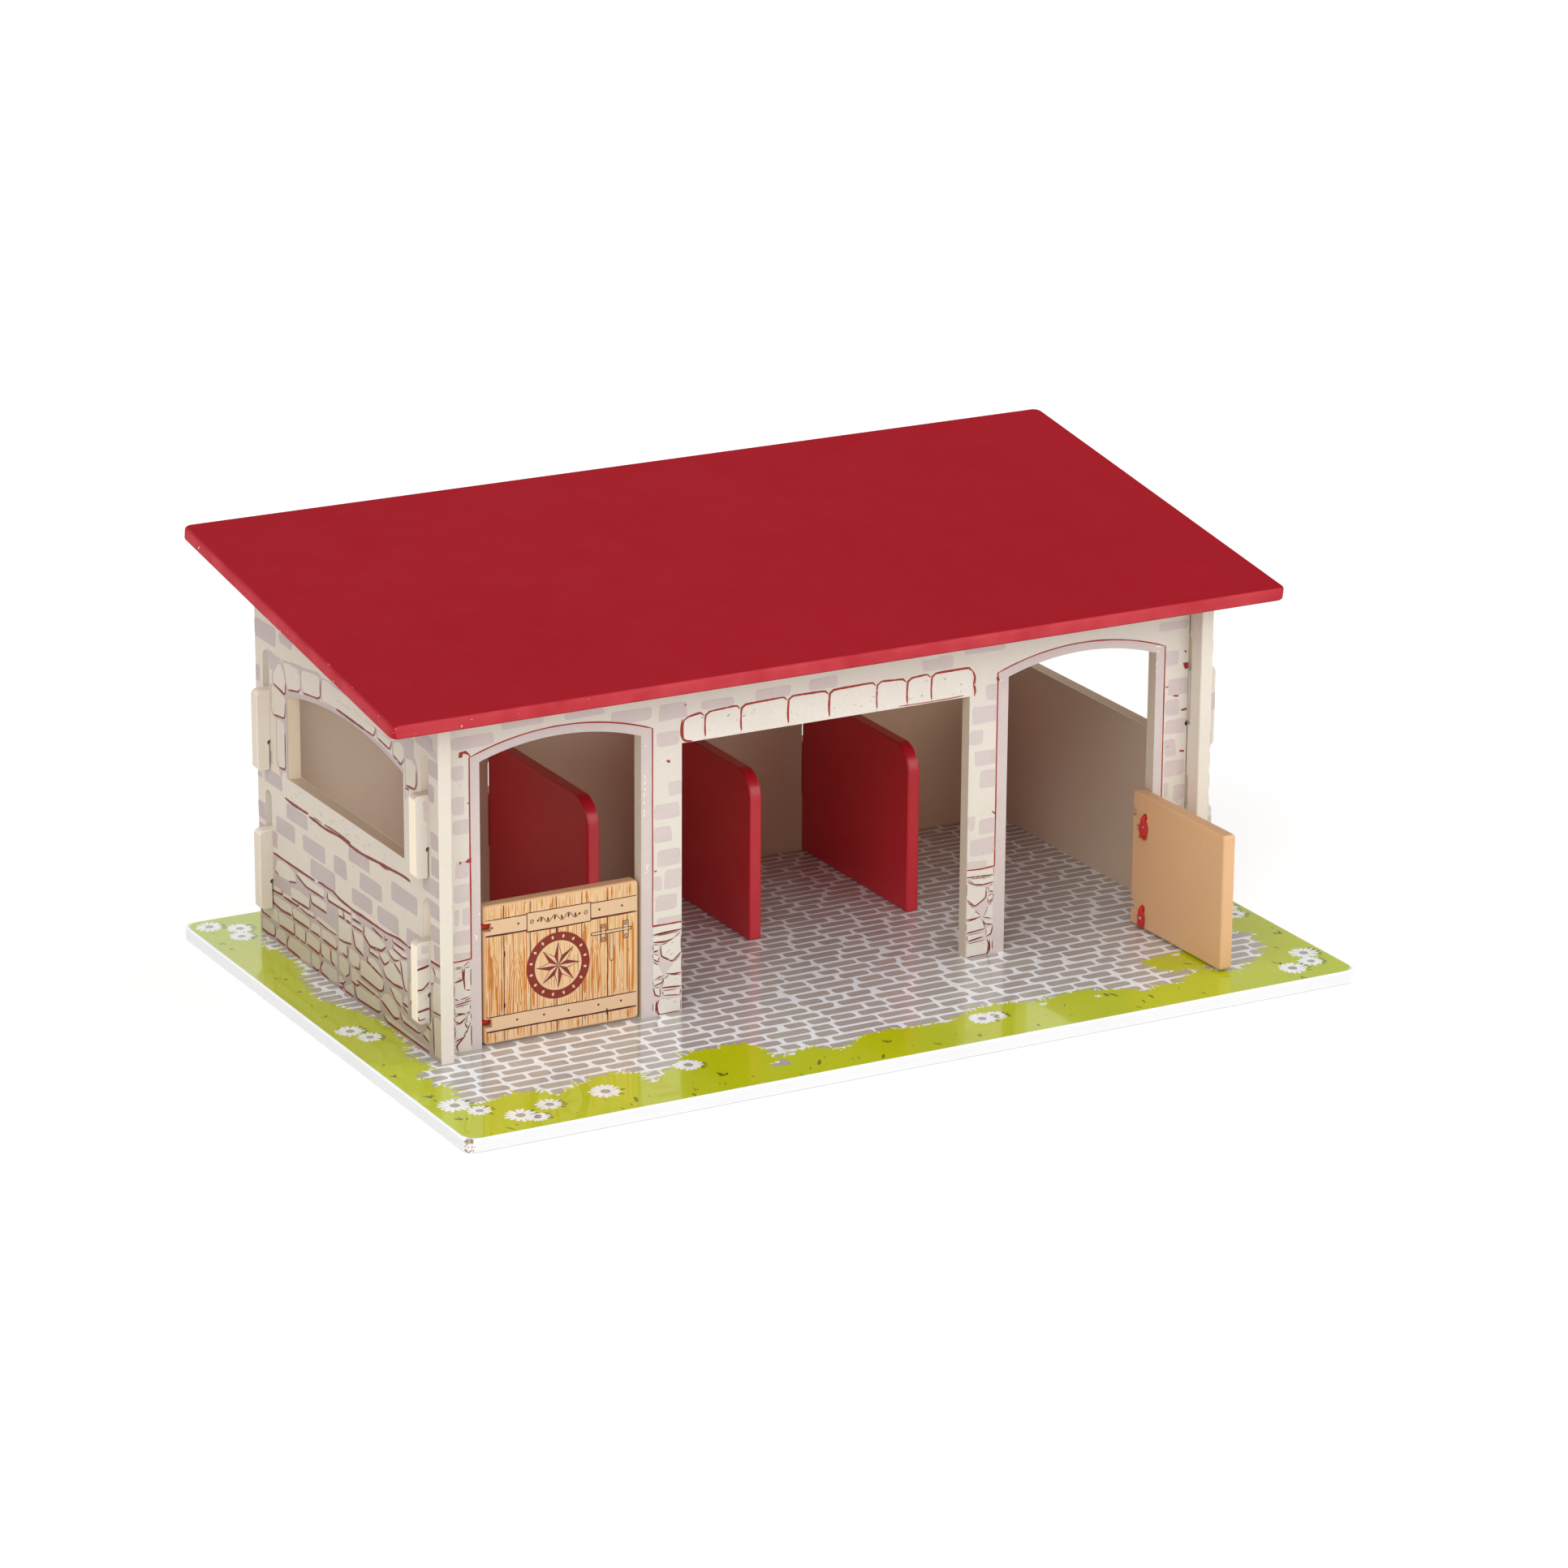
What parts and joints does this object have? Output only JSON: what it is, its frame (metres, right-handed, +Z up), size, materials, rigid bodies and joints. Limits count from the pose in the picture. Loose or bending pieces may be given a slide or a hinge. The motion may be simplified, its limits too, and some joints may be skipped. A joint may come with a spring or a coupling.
{
  "type": "toy barn with opening doors",
  "caption": "Wooden toy horse stable with a lift-off sloping red roof, printed stone walls, red stall partitions and cord-hinged half doors on a printed yard board.",
  "frame": {"origin": "centre of the base board's underside, on the surface the toy stands on", "axes": "+X to the right seen from the front, -Y towards the front with the doors, +Z up"},
  "size_m": [0.424, 0.286, 0.1899],
  "materials": {
    "base_lacquer": "white lacquered board with a printed, glossy top",
    "wall_print": "cream board, printed on its outside, satin",
    "back_board": "cream painted board, satin",
    "red_partition": "red paint, glossy",
    "red_roof": "deep red paint, satin",
    "batten_wood": "bare pale wood",
    "door_board": "tan board, printed on its front, satin",
    "red_cord": "twisted red cord",
    "steel": "bright steel"
  },
  "bodies": {
    "stable": {"base_board": "base_lacquer", "left_wall": "wall_print", "right_wall": "wall_print", "front_wall": "wall_print", "back_wall": "back_board", "left_partition": "red_partition", "middle_partition": "red_partition", "right_partition": "red_partition", "left_lower_cord_wall_end": "red_cord", "left_upper_cord_wall_end": "red_cord", "right_lower_cord_wall_end": "red_cord", "right_upper_cord_wall_end": "red_cord", "front_wall_tacks": "steel"},
    "left_door_body": {"left_door": "door_board", "left_lower_cord_door_end": "red_cord", "left_upper_cord_door_end": "red_cord", "left_door_tacks": "steel"},
    "right_door_body": {"right_door": "door_board", "right_lower_cord_door_end": "red_cord", "right_upper_cord_door_end": "red_cord", "right_door_tacks": "steel"},
    "roof": {"roof_panel": "red_roof", "roof_batten_left": "batten_wood", "roof_batten_right": "batten_wood", "roof_batten_screws": "steel"}
  },
  "joints": [
    {"name": "left_door_hinge", "type": "hinge", "parent": "stable", "child": "left_door_body", "pos_m": [-0.1584, -0.0505, 0.0373], "axis": [0, 0, -1], "range_deg": [0, 98]},
    {"name": "right_door_hinge", "type": "hinge", "parent": "stable", "child": "right_door_body", "pos_m": [0.1584, -0.0505, 0.0373], "axis": [0, 0, 1], "range_deg": [-91, 7]},
    {"name": "roof_lift", "type": "slide", "parent": "stable", "child": "roof", "axis": [0, 0, 1], "range_m": [0, 0.06]}
  ]
}
